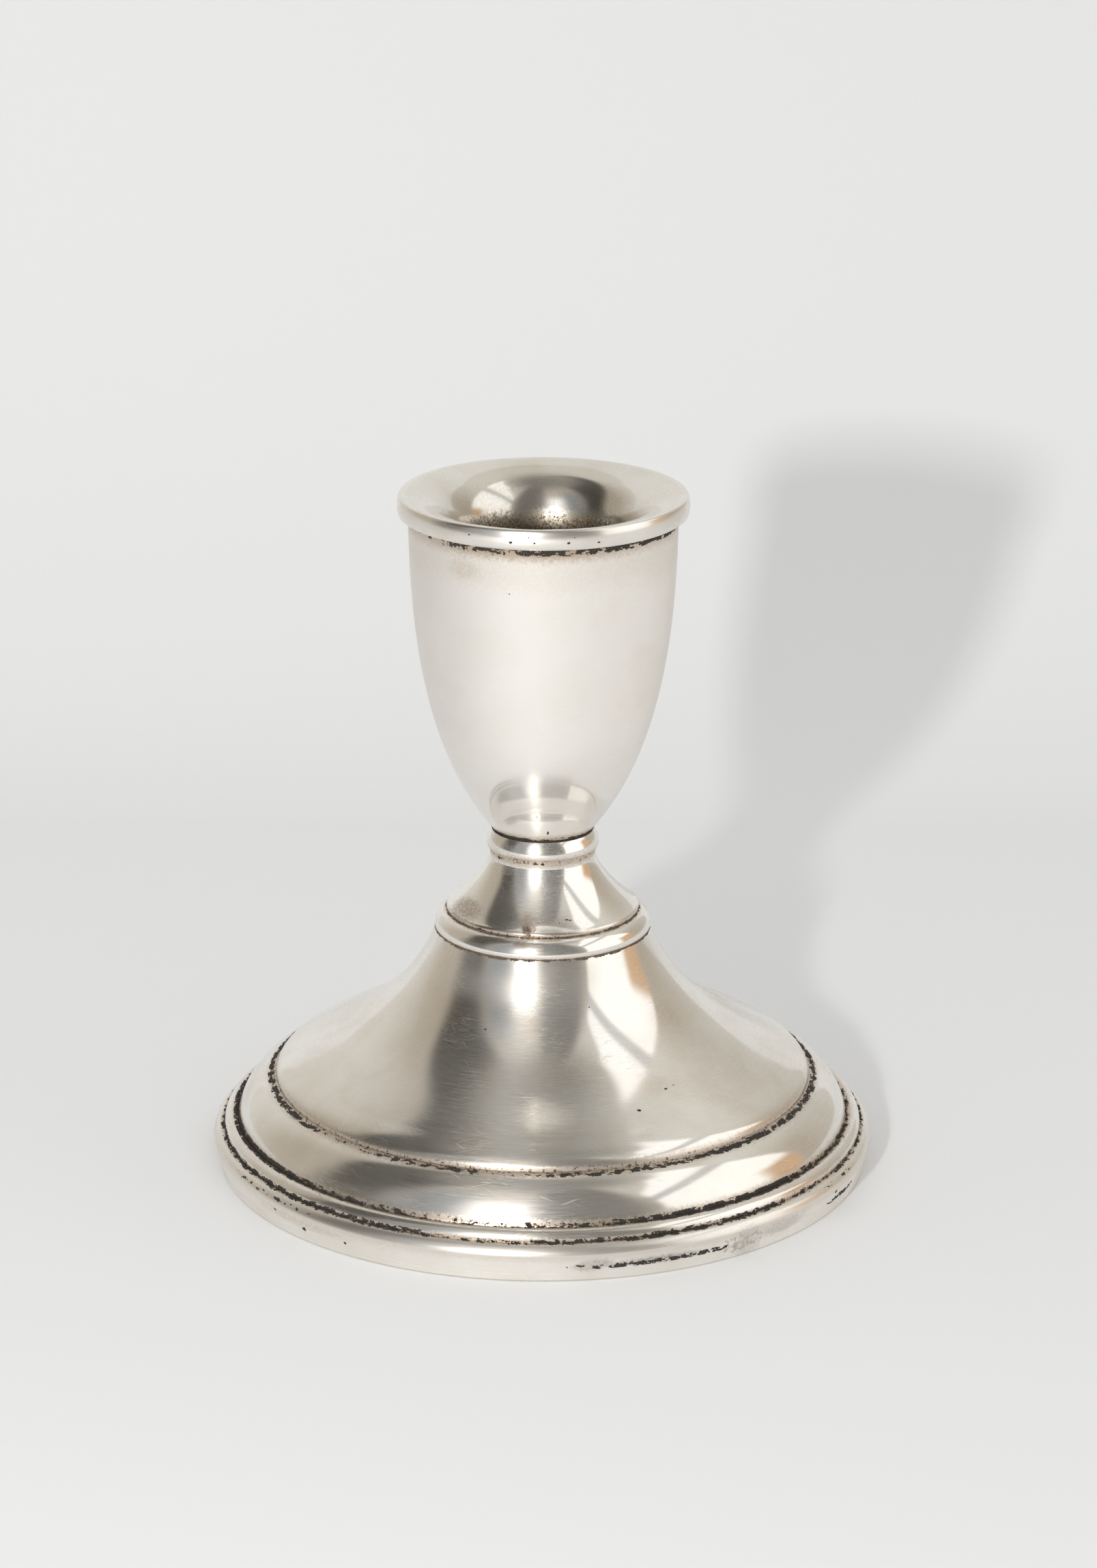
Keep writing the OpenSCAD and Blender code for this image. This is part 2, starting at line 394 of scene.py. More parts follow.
class Turned(Graph):
    """The nodes of a turned piece's material, with its own round coordinates in millimetres."""

    def __init__(self, name, inward=False):
        self.material = bpy.data.materials.new(name)
        self.material.use_nodes = True
        super().__init__(self.material.node_tree)
        self.side = -1 if inward else 1
        metres = {0: self.add("ShaderNodeTexCoord").outputs["Object"], "Scale": 1 / MM}
        self.place = self.add("ShaderNodeVectorMath", metres, operation="SCALE").outputs[0]
        axes = self.add("ShaderNodeSeparateXYZ", {0: self.place}).outputs
        self.x, self.y, self.z = axes[0], axes[1], axes[2]
        squares = self.math("MULTIPLY_ADD", self.y, self.y, self.math("MULTIPLY", self.x, self.x))
        self.r = self.math("SQRT", squares)
        self.angle = self.math("ARCTAN2", self.x, self.math("MULTIPLY", self.y, -1))
        self.run = self.math("SUBTRACT", self.math("MULTIPLY", self.r, self.side), self.z)
        self.flakes = self.noise(self.place, 2.3, 6, 0.62, 0.4)

    def around(self, wraps, fine, lean=0.0):
        """Coordinates that stretch a noise round the axis, leaning by lean radians a millimetre."""
        turned_by = self.math("MULTIPLY_ADD", self.run, lean, self.angle)
        return self.vector(
            self.math("MULTIPLY", self.math("COSINE", turned_by), wraps),
            self.math("MULTIPLY", self.math("SINE", turned_by), wraps),
            self.math("MULTIPLY", self.run, fine),
        )

    def near(self, ring, reach):
        """Distance from a ring of (radius, height), as a share of reach."""
        dr = self.math("SUBTRACT", self.r, ring[0])
        dz = self.math("SUBTRACT", self.z, ring[1])
        far = self.math("SQRT", self.math("MULTIPLY_ADD", dr, dr, self.math("MULTIPLY", dz, dz)))
        return self.math("DIVIDE", far, reach)

    def amount(self, arcs):
        """How much of something there is round the axis, from (degrees, amount) pairs."""
        share = self.math("MULTIPLY_ADD", self.angle, 0.5 / math.pi, 0.5)
        return self.ramp(share, [((a + 180) / 360, v) for a, v in arcs])

    def spot(self, place, size, lean, ragged, soft):
        """1 on an ellipse at (degrees, radius, height), with half sizes round and across the piece."""
        degrees, r, z = place
        across = self.math("MULTIPLY_ADD", self.run, 1 / size[1], (z - r * self.side) / size[1])
        around = self.math("MULTIPLY_ADD", self.angle, r / size[0], -math.radians(degrees) * r / size[0])
        around = self.math("MULTIPLY_ADD", across, lean, around)
        squares = self.math("MULTIPLY_ADD", around, around, self.math("MULTIPLY", across, across))
        far = self.math("SQRT", squares)
        if ragged:
            far = self.math("MULTIPLY_ADD", self.flakes, ragged, self.math("SUBTRACT", far, ragged / 2))
        return self.smooth(far, 0.95 + soft / 2, 0.95 - soft / 2)


# ---------------------------------------------------------------- materials
SILVER = (0.93, 0.905, 0.86, 1)
FILM = (0.70, 0.62, 0.51, 1)
STAIN = (0.56, 0.46, 0.36, 1)
BROWN = (0.17, 0.105, 0.065, 1)
BLACK = (0.022, 0.018, 0.014, 1)
EVEN = [(-180, 0.75), (180, 0.75)]
FAINT = [(-180, 0.25), (180, 0.25)]
ALL_ROUND = 500  # a half size so long that its spot is a whole ring


def silver(
    name, clear, satin, share, stretch, swirl, lines, streaks, base=SILVER, film=0.25,
    rubs=(), stains=(), spots_and_shade=(), pits=(), inward=False,
):
    """Old silver: a clear reflection and a satin one, which fine scratches round the piece stretch upright.

    clear and satin are the two roughnesses. share is how much of the satin one there is, and streaks
    how much that varies where cloths have rubbed. swirl and lines are heights of the scratches in
    millimetres, and film is how much yellow film there is. A place is (degrees, radius, height) and a
    size is half sizes round and across the piece.
    rubs are (place, size, softness, more satin, more roughness), stains are (ring, reach, arcs),
    spots are (place, size, lean, colour, strength) and pits are (place, size). A spot is a stain, or painted
    shade where it darkens the inside of the mouth.
    """
    g = Turned(name, inward)
    long = g.noise(g.around(7, 4.5, 0.012), 1.0, 4, 0.7)
    counter = g.noise(g.around(10, 3.4, -0.05), 1.0, 4, 0.7)
    fine = g.noise(g.around(2.5, 13), 1.0, 2, 0.7)
    hairs = g.smooth(g.noise(g.around(6, 5.5, 0.045), 1.0, 1, 0.5, 0.8), 0.67, 0.71)
    for wraps, lean in ((105, 0.05), (85, -0.035)):
        slanting = g.smooth(g.noise(g.around(wraps, 0.45, lean), 1.0, 1, 0.5, 0.6), 0.69, 0.74)
        hairs = g.math("MAXIMUM", hairs, slanting)
    rubbed = g.smooth(g.noise(g.place, 0.11, 2), 0.38, 0.62)
    hairs = g.math("MULTIPLY", hairs, rubbed)

    # Colour and clear roughness, with the film, the stains, and tinted patches: stains, and in the mouth
    # painted shade.
    clouds = g.noise(g.place, 0.13, 3, 0.5, 0.3)
    brushing = g.math("MULTIPLY_ADD", g.math("SUBTRACT", long, counter), 0.25, g.smooth(clouds, 0.3, 0.8))
    colour = g.mix(g.math("MULTIPLY", brushing, film), base, FILM)
    colour = g.mix(g.math("MULTIPLY", hairs, 0.15), colour, (1, 0.99, 0.97, 1))
    dull = g.math("MULTIPLY_ADD", clouds, 0.04, clear - 0.02)
    matt = None
    for ring, reach, arcs in stains:
        near = g.smooth(g.math("MULTIPLY_ADD", g.flakes, 1.2, g.near(ring, reach)), 1.65, 0.75)
        near = g.math("MULTIPLY", near, g.amount(arcs))
        matt = near if matt is None else g.math("MAXIMUM", matt, near)
    if matt is not None:
        flecks = g.smooth(g.math("MULTIPLY_ADD", matt, 0.12, g.flakes), 0.63, 0.69)
        colour = g.mix(matt, colour, STAIN)
        colour = g.mix(g.math("MULTIPLY", flecks, g.smooth(matt, 0.15, 0.5)), colour, BROWN)
        dull = g.math("MULTIPLY_ADD", matt, 0.4, dull)
    mottle = g.math("MULTIPLY_ADD", g.smooth(g.noise(g.place, 3.1, 4, 0.65), 0.36, 0.6), 0.6, 0.4)
    for place, size, lean, tint, strength in spots_and_shade:
        inside = g.math("MULTIPLY", g.spot(place, size, lean, 1.6, 0.9), mottle)
        inside = g.math("MULTIPLY", inside, strength)
        colour = g.mix(inside, colour, tint)
        dull = g.math("MULTIPLY_ADD", inside, 0.4, dull)

    # Share of the satin, and how it changes where the silver is rubbed.
    more = 0.0
    for place, size, soft, extra, rougher in rubs:
        worn = g.spot(place, size, 0.0, 0.0, soft)
        more = g.math("MULTIPLY_ADD", worn, extra, more)
        dull = g.math("MULTIPLY_ADD", worn, rougher, dull)
    varies = g.math("MULTIPLY_ADD", g.math("ADD", long, counter), 0.6, -0.6)
    varies = g.math("MULTIPLY_ADD", hairs, 0.6, varies)
    varies = g.math("MULTIPLY", varies, g.math("MULTIPLY_ADD", rubbed, 0.7, 0.3))
    broad = g.math("ADD", g.math("MULTIPLY_ADD", varies, streaks, share), more)

    # Height, with the pits.
    height = g.math("MULTIPLY", g.math("ADD", long, counter), swirl)
    height = g.math("MULTIPLY_ADD", fine, lines, height)
    height = g.math("MULTIPLY_ADD", hairs, -0.3 * swirl, height)
    height = g.math("MULTIPLY_ADD", g.noise(g.place, 0.07, 1), 0.1, height)
    metal = 1.0
    if pits:
        hole = None
        for place, size in pits:
            one = g.spot(place, size, 0.0, 1.5, 0.9)
            hole = one if hole is None else g.math("MAXIMUM", hole, one)
        hole = g.smooth(g.math("ADD", g.noise(g.place, 5.0, 3, 0.7), hole), 1.27, 1.4)
        colour = g.mix(hole, colour, BLACK)
        dull = g.blend(hole, dull, 0.8)
        height = g.math("MULTIPLY_ADD", hole, -0.06, height)
        metal = g.math("SUBTRACT", 1.0, g.math("MULTIPLY", hole, 0.9))
    bump = g.add("ShaderNodeBump", {"Strength": 1.0, "Distance": MM, "Height": height}).outputs[0]
    inputs = {"Base Color": colour, "Roughness": dull, "Metallic": metal, "Normal": bump}
    mirror = g.add("ShaderNodeBsdfPrincipled", inputs).outputs[0]
    tangent = g.add("ShaderNodeTangent", direction_type="RADIAL", axis="Z").outputs[0]
    inputs["Roughness"] = g.math("MAXIMUM", dull, satin)
    inputs.update({"Anisotropic": stretch, "Anisotropic Rotation": 0.25, "Tangent": tangent})
    brushed = g.add("ShaderNodeBsdfPrincipled", inputs).outputs[0]
    both = g.add("ShaderNodeMixShader", {0: broad, 1: mirror, 2: brushed}).outputs[0]
    g.add("ShaderNodeOutputMaterial", {0: both})
    return g.material


def plain(name, base, other, roughness, metallic=0.0, scale=1.0, detail=4.0, bump=0.3, lines=False):
    """A matt or machined material: two tones in a noise, which also raises the surface."""
    g = Turned(name)
    where = g.around(2, 6) if lines else g.place
    pattern = g.noise(where, scale, detail, 0.6, 0.2)
    colour = g.mix(g.smooth(pattern, 0.3, 0.7), base, other)
    rough = g.math("MULTIPLY_ADD", pattern, 0.2, roughness - 0.1)
    normal = g.add("ShaderNodeBump", {"Strength": bump, "Distance": 0.1 * MM, "Height": pattern}).outputs[0]
    inputs = {"Base Color": colour, "Roughness": rough, "Metallic": metallic, "Normal": normal}
    shader = g.add("ShaderNodeBsdfPrincipled", inputs).outputs[0]
    g.add("ShaderNodeOutputMaterial", {0: shader})
    return g.material


# ---------------------------------------------------------------- stage, light and camera
# All in metres. The floor is a hair below the felt, and things nearer to it than TOUCHING rest on it.
PALE = (0.775, 0.775, 0.77, 1)
PAPER = (0.80, 0.80, 0.795, 1)
FLOOR_Z = -0.00004
TOUCHING = 0.0002


def camera():
    """At the height and angle that the object is seen from; no shift and no blur."""
    data = bpy.data.cameras.new("camera")
    data.lens = 109.8
    data.sensor_width = 36
    data.clip_start, data.clip_end = 0.05, 20
    eye = bpy.data.objects.new("camera", data)
    bpy.context.scene.collection.objects.link(eye)
    pitch, yaw, roll = math.radians(18.31), math.radians(0.071), math.radians(0.128)
    ahead = Vector((math.sin(yaw) * math.cos(pitch), math.cos(yaw) * math.cos(pitch), -math.sin(pitch)))
    level = Vector((math.cos(yaw), -math.sin(yaw), 0))
    up = level.cross(ahead)
    right = level * math.cos(roll) + up * math.sin(roll)
    up = up * math.cos(roll) - level * math.sin(roll)
    turn = Matrix((right, up, -ahead)).transposed().to_4x4()
    eye.matrix_world = Matrix.Translation((0, -0.6465, 0.2701)) @ turn
    bpy.context.scene.camera = eye


def sheet(name, outline, half, material):
    """A sheet of paper along an outline of (y, z) points, up to half either side."""
    points = [(x, y, z) for y, z in outline for x in (-half, half)]
    faces = [(2 * i, 2 * i + 1, 2 * i + 3, 2 * i + 2) for i in range(len(outline) - 1)]
    mesh = bpy.data.meshes.new(name)
    mesh.from_pydata(points, [], faces)
    mesh.polygons.foreach_set("use_smooth", [True] * len(faces))
    mesh.materials.append(material)
    piece = bpy.data.objects.new(name, mesh)
    bpy.context.scene.collection.objects.link(piece)


def backdrop():
    """White paper: level all round the object, and swept up behind it.

    It is clear from below, and to what rests on it, so that the underside can be seen and lit.
    """
    bend_at, bend_r, top, half, far = 0.149, 0.144, 0.42, 0.18, 1.6
    paper = bpy.data.materials.new("paper")
    paper.use_nodes = True
    g = Graph(paper.node_tree)
    matt = g.add("ShaderNodeBsdfDiffuse", {"Color": PAPER}).outputs[0]
    clear = g.add("ShaderNodeBsdfTransparent").outputs[0]
    behind = g.add("ShaderNodeNewGeometry").outputs["Backfacing"]
    touching = g.math("LESS_THAN", g.add("ShaderNodeLightPath").outputs["Ray Length"], TOUCHING)
    open_side = g.math("MAXIMUM", behind, touching)
    both = g.add("ShaderNodeMixShader", {0: open_side, 1: matt, 2: clear}).outputs[0]
    g.add("ShaderNodeOutputMaterial", {0: both})
    sheet("floor", [(-far, FLOOR_Z), (bend_at, FLOOR_Z), (far, FLOOR_Z)], far, paper)
    angles = [math.pi / 2 * i / 32 for i in range(33)]
    sweep = [(bend_at + bend_r * math.sin(a), FLOOR_Z + bend_r * (1 - math.cos(a))) for a in angles]
    sheet("backdrop", sweep + [(bend_at + bend_r, top)], half, paper)


def key_light():
    """A small soft light beside the camera, which throws the shadow on the sweep."""
    data = bpy.data.lights.new("key", "AREA")
    data.shape = "RECTANGLE"
    data.size, data.size_y = 0.032, 0.044
    data.energy = 3.1
    data.color = (1, 0.995, 0.985)
    lamp = bpy.data.objects.new("key", data)
    bpy.context.scene.collection.objects.link(lamp)
    place = Vector((-0.2016, -0.727, 0.281))
    aim = (Vector((0, 0, 0.05)) - place).to_track_quat("-Z", "Y").to_matrix().to_4x4()
    lamp.matrix_world = Matrix.Translation(place) @ aim


# What the silver sees of the room: (bearing from, to, elevation from, to, softness, bend, colour).
# Bearing 0 is towards the camera and grows to the right. A bend is (elevation, left, right): above that
# elevation the left and right edges move aside by so much for each squared degree.
ROOM = [
    (-92, -60, -12, 74, 9, (24, -0.030, 0), (0.13, 0.12, 0.105, 1)),
    (-88, -68, 20, 69, 8, (24, -0.030, 0), (0.045, 0.042, 0.036, 1)),
    (-58, -28, -12, 62, 13, (0, 0, 0), (0.25, 0.27, 0.29, 1)),
    (-30, -6, 0, 47, 8, (0, 0, 0), (1.05, 1.06, 1.09, 1)),
    (-2, 42, 0, 78, 7, (0, 0, 0), (0.165, 0.16, 0.15, 1)),
]
WINDOW = (47, 111, -3, 68, 1.6, (45, 0.07, 0.035), (1.3, 1.28, 1.25, 1))
AMBER = (92, 114, -6, 23, 4.5, (0, 0, 0), (0.62, 0.375, 0.18, 1))
BAR = (0.56, 0.575, 0.575, 1)
BAR_BEARING = 105
BAR_RISE = 1.41
LEFT_WALL = (0.47, 0.42, 0.35, 1)
LEFT_BEHIND = (0.70, 0.675, 0.63, 1)
RIGHT_WALL = (0.42, 0.37, 0.30, 1)
RIGHT_BEHIND = (0.62, 0.60, 0.56, 1)
RIGHT_ABOVE = (0.66, 0.64, 0.59, 1)
CEILING = (0.21, 0.20, 0.18, 1)
AMBIENT_LEVEL = (0.59, 0.59, 0.588, 1)
AMBIENT_ABOVE = (0.86, 0.86, 0.855, 1)


def studio():
    """A plain room: pale to the camera, even to matt surfaces, with windows for the silver to mirror."""
    world = bpy.data.worlds.new("studio")
    bpy.context.scene.world = world
    world.use_nodes = True
    g = Graph(world.node_tree)
    direction = g.add("ShaderNodeTexCoord").outputs["Generated"]
    x, y, z = g.add("ShaderNodeSeparateXYZ", {0: direction}).outputs
    bearing = g.math("MULTIPLY", g.math("ARCTAN2", x, g.math("MULTIPLY", y, -1)), 180 / math.pi)
    elevation = g.math("MULTIPLY", g.math("ARCSINE", z), 180 / math.pi)

    def patch(left, right, bottom, top, soft, bend):
        above = g.math("MAXIMUM", g.math("SUBTRACT", elevation, bend[0]), 0.0)
        above = g.math("MULTIPLY", above, above)
        inside = g.smooth(g.math("MULTIPLY_ADD", above, -bend[1], bearing), left - soft, left + soft)
        for value, edge in ((g.math("MULTIPLY_ADD", above, -bend[2], bearing), right), (elevation, top)):
            inside = g.math("MULTIPLY", inside, g.smooth(value, edge + soft, edge - soft))
        return g.math("MULTIPLY", inside, g.smooth(elevation, bottom - soft, bottom + soft))

    left = g.mix(g.smooth(bearing, -112, -150), LEFT_WALL, LEFT_BEHIND)
    right = g.mix(g.smooth(bearing, 108, 170), RIGHT_WALL, RIGHT_BEHIND)
    right = g.mix(g.smooth(elevation, 25, 55), right, RIGHT_ABOVE)
    walls = g.mix(g.smooth(bearing, -1, 1), left, right)
    seen = g.mix(g.smooth(elevation, 60, 84), walls, CEILING)
    for *area, colour in ROOM:
        seen = g.mix(patch(*area), seen, colour)
    # A slanting bar crosses the window, on a plane through the object.
    lie = math.radians(BAR_BEARING)
    plane = g.math("MULTIPLY_ADD", x, -BAR_RISE * math.sin(lie), z)
    plane = g.math("MULTIPLY_ADD", y, BAR_RISE * math.cos(lie), plane)
    off = g.math("ABSOLUTE", g.math("DIVIDE", plane, math.hypot(1, BAR_RISE)))
    glass = g.mix(g.smooth(off, 0.07, 0.03), WINDOW[-1], BAR)
    glass = g.mix(patch(*AMBER[:-1]), glass, AMBER[-1])
    seen = g.mix(patch(*WINDOW[:-1]), seen, glass)
    path = g.add("ShaderNodeLightPath").outputs
    ambient = g.mix(g.math("MAXIMUM", z, 0.0), AMBIENT_LEVEL, AMBIENT_ABOVE)
    lit = g.mix(path["Is Diffuse Ray"], seen, ambient)
    lit = g.mix(path["Is Camera Ray"], lit, PALE)
    g.add("ShaderNodeOutputWorld", {0: g.add("ShaderNodeBackground", {0: lit}).outputs[0]})
    bpy.context.scene.view_settings.view_transform = "Standard"


# ---------------------------------------------------------------- the candlestick
def foot(material):
    outside = foot_outline()
    outline = [(12.6, CONE_TOP)] + outside + [(BEAD_END[0], BEAD_END[1] - SHEET)]
    outline += moved(outside, -SHEET, -SHEET)[::-1] + [(12.6, CONE_TOP - SHEET)]
    turned("foot_spun", outline, "base", material, ["foot_shell"])


def foot_band(material):
    outline = lip_outline()[:-1] + band_outline()
    outline += [(BAND_IN_R + 0.1, 0), (BAND_IN_R, 0.1)]
    outline += [(BAND_IN_R, BEAD_END[1] - SHEET), (BEAD_END[0], BEAD_END[1] - SHEET)]
    turned("foot_rim", outline, "base", material, ["foot_band"])


def reed(material):
    outline = [(12, CONE_TOP), (15.3, CONE_TOP)]
    outline += reed_outline() + [(13.6, BELL_Z), (12, BELL_Z)]
    turned("reed", outline, "base", material, ["reed_ring"])


def bell(material):
    outside = bell_outline()
    outline = outside + swell(outside[-1], (13.7, BELL_Z), 0.2, 10)[1:] + [(13.1, BELL_Z)]
    outline += moved(outside[1:], -SHEET, -SHEET)[::-1] + [(7.2, COLLAR_Z)]
    turned("bell", outline, "base", material, ["bell_shell"])


def collar(material):
    outline = [(BUSH_R, COLLAR_Z), (7.7, COLLAR_Z)] + arc((7.4, COLLAR_Z + 0.7), 0.6, -60, 0, 10)
    outline += [(7.95, COLLAR_Z + 1.5), (7.4, SEAT_Z - 0.1), (7.3, SEAT_Z), (BUSH_R, SEAT_Z)]
    turned("collar", outline, "base", material, ["neck_collar"])


def cup(material):
    outside = cup_outline()
    outline = [(STUD_R, CUP_Z)] + outside + [(CUP_R, TOP_Z - 1), (CUP_R - SHEET, TOP_Z - 1)]
    outline += moved(outside[1:], -SHEET, 0.3)[::-1] + [(6.95, INNER_Z), (STUD_R, INNER_Z)]
    turned("cup", outline, "cup", material, ["cup_shell"])


def rim(material):
    outline = [(CUP_R, RIM_Z), (RIM_R - 0.55, RIM_Z), (RIM_R - 0.28, RIM_Z + 0.12)]
    outline += [(RIM_R - 0.2, RIM_Z + 0.2), (RIM_R - 0.1, RIM_Z + 0.5), (RIM_R - 0.02, RIM_Z + 0.9)]
    outline += [(RIM_R, RIM_Z + 1.2)]
    outline += [(RIM_R - 0.02, TOP_Z - 1.1), (RIM_R - 0.1, TOP_Z - 0.6)]
    outline += arc((RIM_R - 0.65, TOP_Z - 0.5), 0.5, 15, 90, 12)
    outline += [(RIM_R - 1.2, TOP_Z - 0.1), (RIM_R - 1.2, TOP_Z - 0.6), (CUP_R, TOP_Z - 0.7)]
    turned("rim", outline, "cup", material, ["rim_band"])


def socket(material):
    inside = mouth_outline()
    outline = [(0, SOCKET_Z - 0.5), (SOCKET_R + 0.5, SOCKET_Z - 0.5), (SOCKET_R + 0.5, SOCKET_TOP - 0.5)]
    outline += moved(inside[1:], 0.5, -0.5)[::-1] + [(CUP_R, TOP_Z - 0.7), (RIM_R - 1.2, TOP_Z - 0.6)]
    outline += inside + [(SOCKET_R, SOCKET_Z), (0, SOCKET_Z)]
    turned("socket", outline, "cup", material, ["socket_liner"])


def stud(material):
    """The cup's screw: a right-hand thread whose crests are at the stud's radius."""
    bottom, top = low("cup_stud"), high("cup_stud")
    rows = int((top - bottom) / (THREAD_PITCH / 12))
    points, faces = [(0, 0, bottom * MM)], []
    for j in range(rows + 1):
        z = bottom + (top - bottom) * j / rows
        for i in range(THREAD_SEGMENTS):
            turn = i / THREAD_SEGMENTS
            across = ((z - bottom) / THREAD_PITCH - turn) % 1
            r = STUD_R - THREAD_DEPTH * abs(2 * across - 1)
            r = min(r, STUD_R - THREAD_DEPTH + (z - bottom) * 0.8)
            a = 2 * math.pi * turn
            points.append((r * math.cos(a) * MM, r * math.sin(a) * MM, z * MM))
    points.append((0, 0, top * MM))
    last = 1 + rows * THREAD_SEGMENTS
    for i in range(THREAD_SEGMENTS):
        n = (i + 1) % THREAD_SEGMENTS
        faces.append((0, 1 + n, 1 + i))
        faces.append((len(points) - 1, last + i, last + n))
        for j in range(rows):
            a, b = 1 + j * THREAD_SEGMENTS, 1 + (j + 1) * THREAD_SEGMENTS
            faces.append((a + i, a + n, b + n, b + i))
    add_piece("stud_thread", points, faces, "cup", material, ["cup_stud"])


def paint(node, material):
    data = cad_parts[node].data
    data.materials.clear()
    data.materials.append(material)


# How much crust has stayed round each groove: (azimuth, amount) pairs.
GROOVE_A = [
    (-180, 0.6), (-100, 0.8), (-66, 0.75), (-57, 0.7), (-50, 0.25), (-36, 0.2), (-32, 0.5), (-22, 0.62),
    (-15, 0.5), (-9, 0.22), (-2, 0.2), (2, 0.72), (13, 0.85), (17, 0.4), (22, 0.7), (34, 0.85),
    (60, 0.8), (95, 0.85), (180, 0.6),
]
GROOVE_B = [
    (-180, 0.55), (-100, 1.0), (-52, 1.05), (-47, 0.85), (-41, 0.5), (-32, 0.55), (-22, 0.3), (-6, 0.25),
    (-2, 0.32), (3, 0.4), (8, 0.6), (16, 0.85), (30, 1.05), (48, 1.1), (58, 0.6), (90, 0.4), (180, 0.55),
]
GROOVE_C = [
    (-180, 0.5), (-90, 0.7), (-55, 0.8), (-40, 0.85), (-24, 0.75), (-17, 0.3), (-5, 0.3), (1, 0.55),
    (10, 0.7), (20, 0.85), (34, 0.85), (46, 0.6), (58, 0.35), (75, 0.5), (180, 0.5),
]
LIP_CRUST = [
    (-180, 0), (-66, 0), (-60, 0.3), (-46, 0.3), (-42, 0), (54, 0), (60, 0.3), (70, 0), (180, 0),
]
UNDER_RIM = [
    (-180, 0.4), (-60, 0.35), (-45, 0.4), (-30, 0.7), (-18, 0.5), (-10, 0.7), (4, 0.85), (12, 0.6),
    (22, 0.7), (30, 1.0), (68, 1.0), (80, 0.5), (180, 0.4),
]
CUP_JOINT = [
    (-180, 0.4), (-85, 0.9), (-30, 0.95), (-12, 0.5), (0, 0.6), (15, 0.45), (40, 0.75), (70, 0.9),
    (180, 0.4),
]
NECK_JOINTS = [
    (-180, 0.6), (-90, 0.85), (-35, 0.8), (-15, 0.6), (15, 0.55), (35, 0.8), (60, 0.95), (90, 0.8),
    (180, 0.6),
]
RIM_STAIN = [(-180, 0.4), (-60, 0.45), (-35, 0.8), (10, 0.95), (30, 0.6), (60, 0.4), (180, 0.4)]
SEAM = [(-180, 0), (32, 0), (35, 0.62), (37, 0.68), (40, 0), (180, 0)]
BAND_STREAK = [
    (-180, 0), (4, 0), (7, 0.35), (10, 0.3), (13, 0.6), (24, 0.55), (31, 0.35), (33, 0), (58, 0),
    (61, 0.5), (66, 0.4), (69, 0), (180, 0),
]


def foot_crusts(black, brown, solder):
    outside = foot_outline()
    lip = lip_outline()
    face = [LIP_END, (FOOT_R - 0.18, 2.9), (FOOT_R - 0.36, 2.15)]
    face += [(FOOT_R - 0.55, 1.2), (FOOT_R - 0.75, 0.35)]
    strips = [
        (strip(outside, (VALLEY_OUT[0] + 0.12, VALLEY_OUT[1]), 0.52, 9), GROOVE_A, 0.08, 3),
        (strip(outside, BEAD_START, 0.75, 10), GROOVE_B, 0.12, 17),
        (strip(outside[-12:] + lip[1:], BEAD_END, 0.6, 8), GROOVE_C, 0.1, 31),
        (strip(lip, lip[9], 0.4, 5), LIP_CRUST, 0.05, 43),
        (strip(face, face[2], 0.38, 8), BAND_STREAK, 0.03, 57),
    ]
    crust("crust_foot", "base", black, strips)
    round_down = reed_outline()[::-1]
    upper = strip([(13.7, BELL_Z + 0.35), (13.7, BELL_Z)] + round_down, (13.75, BELL_Z), 0.26, 4)
    lower = strip(round_down + outside[:8], (CONE_TOP_R + 0.05, CONE_TOP - 0.02), 0.24, 4)
    strips = [(upper, NECK_JOINTS, 0.05, 61), (lower, NECK_JOINTS, 0.06, 73)]
    crust("crust_neck", "base", brown, strips, 0.12)
    whole = strip(face, face[2], 1.7, 18)
    crust("band_seam", "base", solder, [(whole, SEAM, 0.05, 83)])


def cup_crusts(black):
    under = [(RIM_R - 0.7, RIM_Z), (CUP_R, RIM_Z), (CUP_R, RIM_Z - 0.25), (CUP_R, RIM_Z - 1.8)]
    joint = cup_outline()[5::-1] + [(CUP_FOOT_R - 0.2, CUP_Z)]
    strips = [
        (strip(under, under[2], 0.85, 11), UNDER_RIM, 0.07, 91),
        (strip(joint, (CUP_FOOT_R + 0.05, CUP_Z + 0.1), 0.4, 5), CUP_JOINT, 0.05, 97),
    ]
    crust("crust_cup", "cup", black, strips, 0.13)


